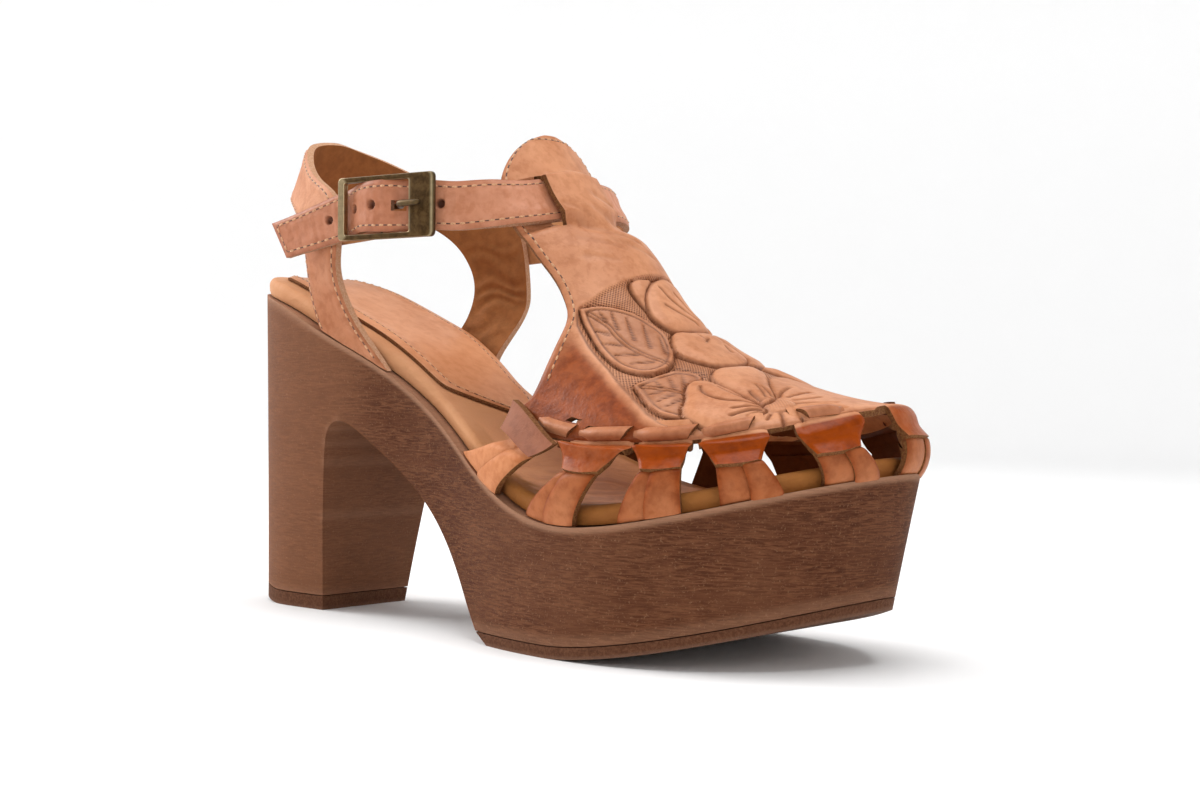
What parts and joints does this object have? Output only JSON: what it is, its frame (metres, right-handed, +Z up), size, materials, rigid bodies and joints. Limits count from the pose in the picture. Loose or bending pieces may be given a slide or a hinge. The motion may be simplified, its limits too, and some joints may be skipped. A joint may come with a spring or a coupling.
{
  "type": "platform heeled sandal",
  "caption": "Right-foot tan leather platform sandal with a block heel, tooled vamp and tongue on knotted side straps, slingback quarter and buckled ankle strap.",
  "frame": {"origin": "middle of the bounding box on the floor under the shoe", "axes": "+X from heel to toe, +Y to the big-toe side, +Z up"},
  "size_m": [0.234, 0.0984, 0.1499],
  "materials": {
    "leather": "semi-gloss tan leather",
    "pad_leather": "smooth tan leather",
    "lining": "satin",
    "sole": "moulded wood-grain look, dark brown",
    "tread": "matt",
    "brass": "antique, darkened"
  },
  "bodies": {
    "root": {"sole": "sole", "heel_tip": "tread", "outsole": "tread", "insole": "lining", "heel_pad": "pad_leather", "upper": "leather", "back_strap": "leather", "ankle_strap": "leather", "buckle_frame": "brass", "buckle_prong": "brass", "buckle_tab": "leather"}
  },
  "joints": []
}
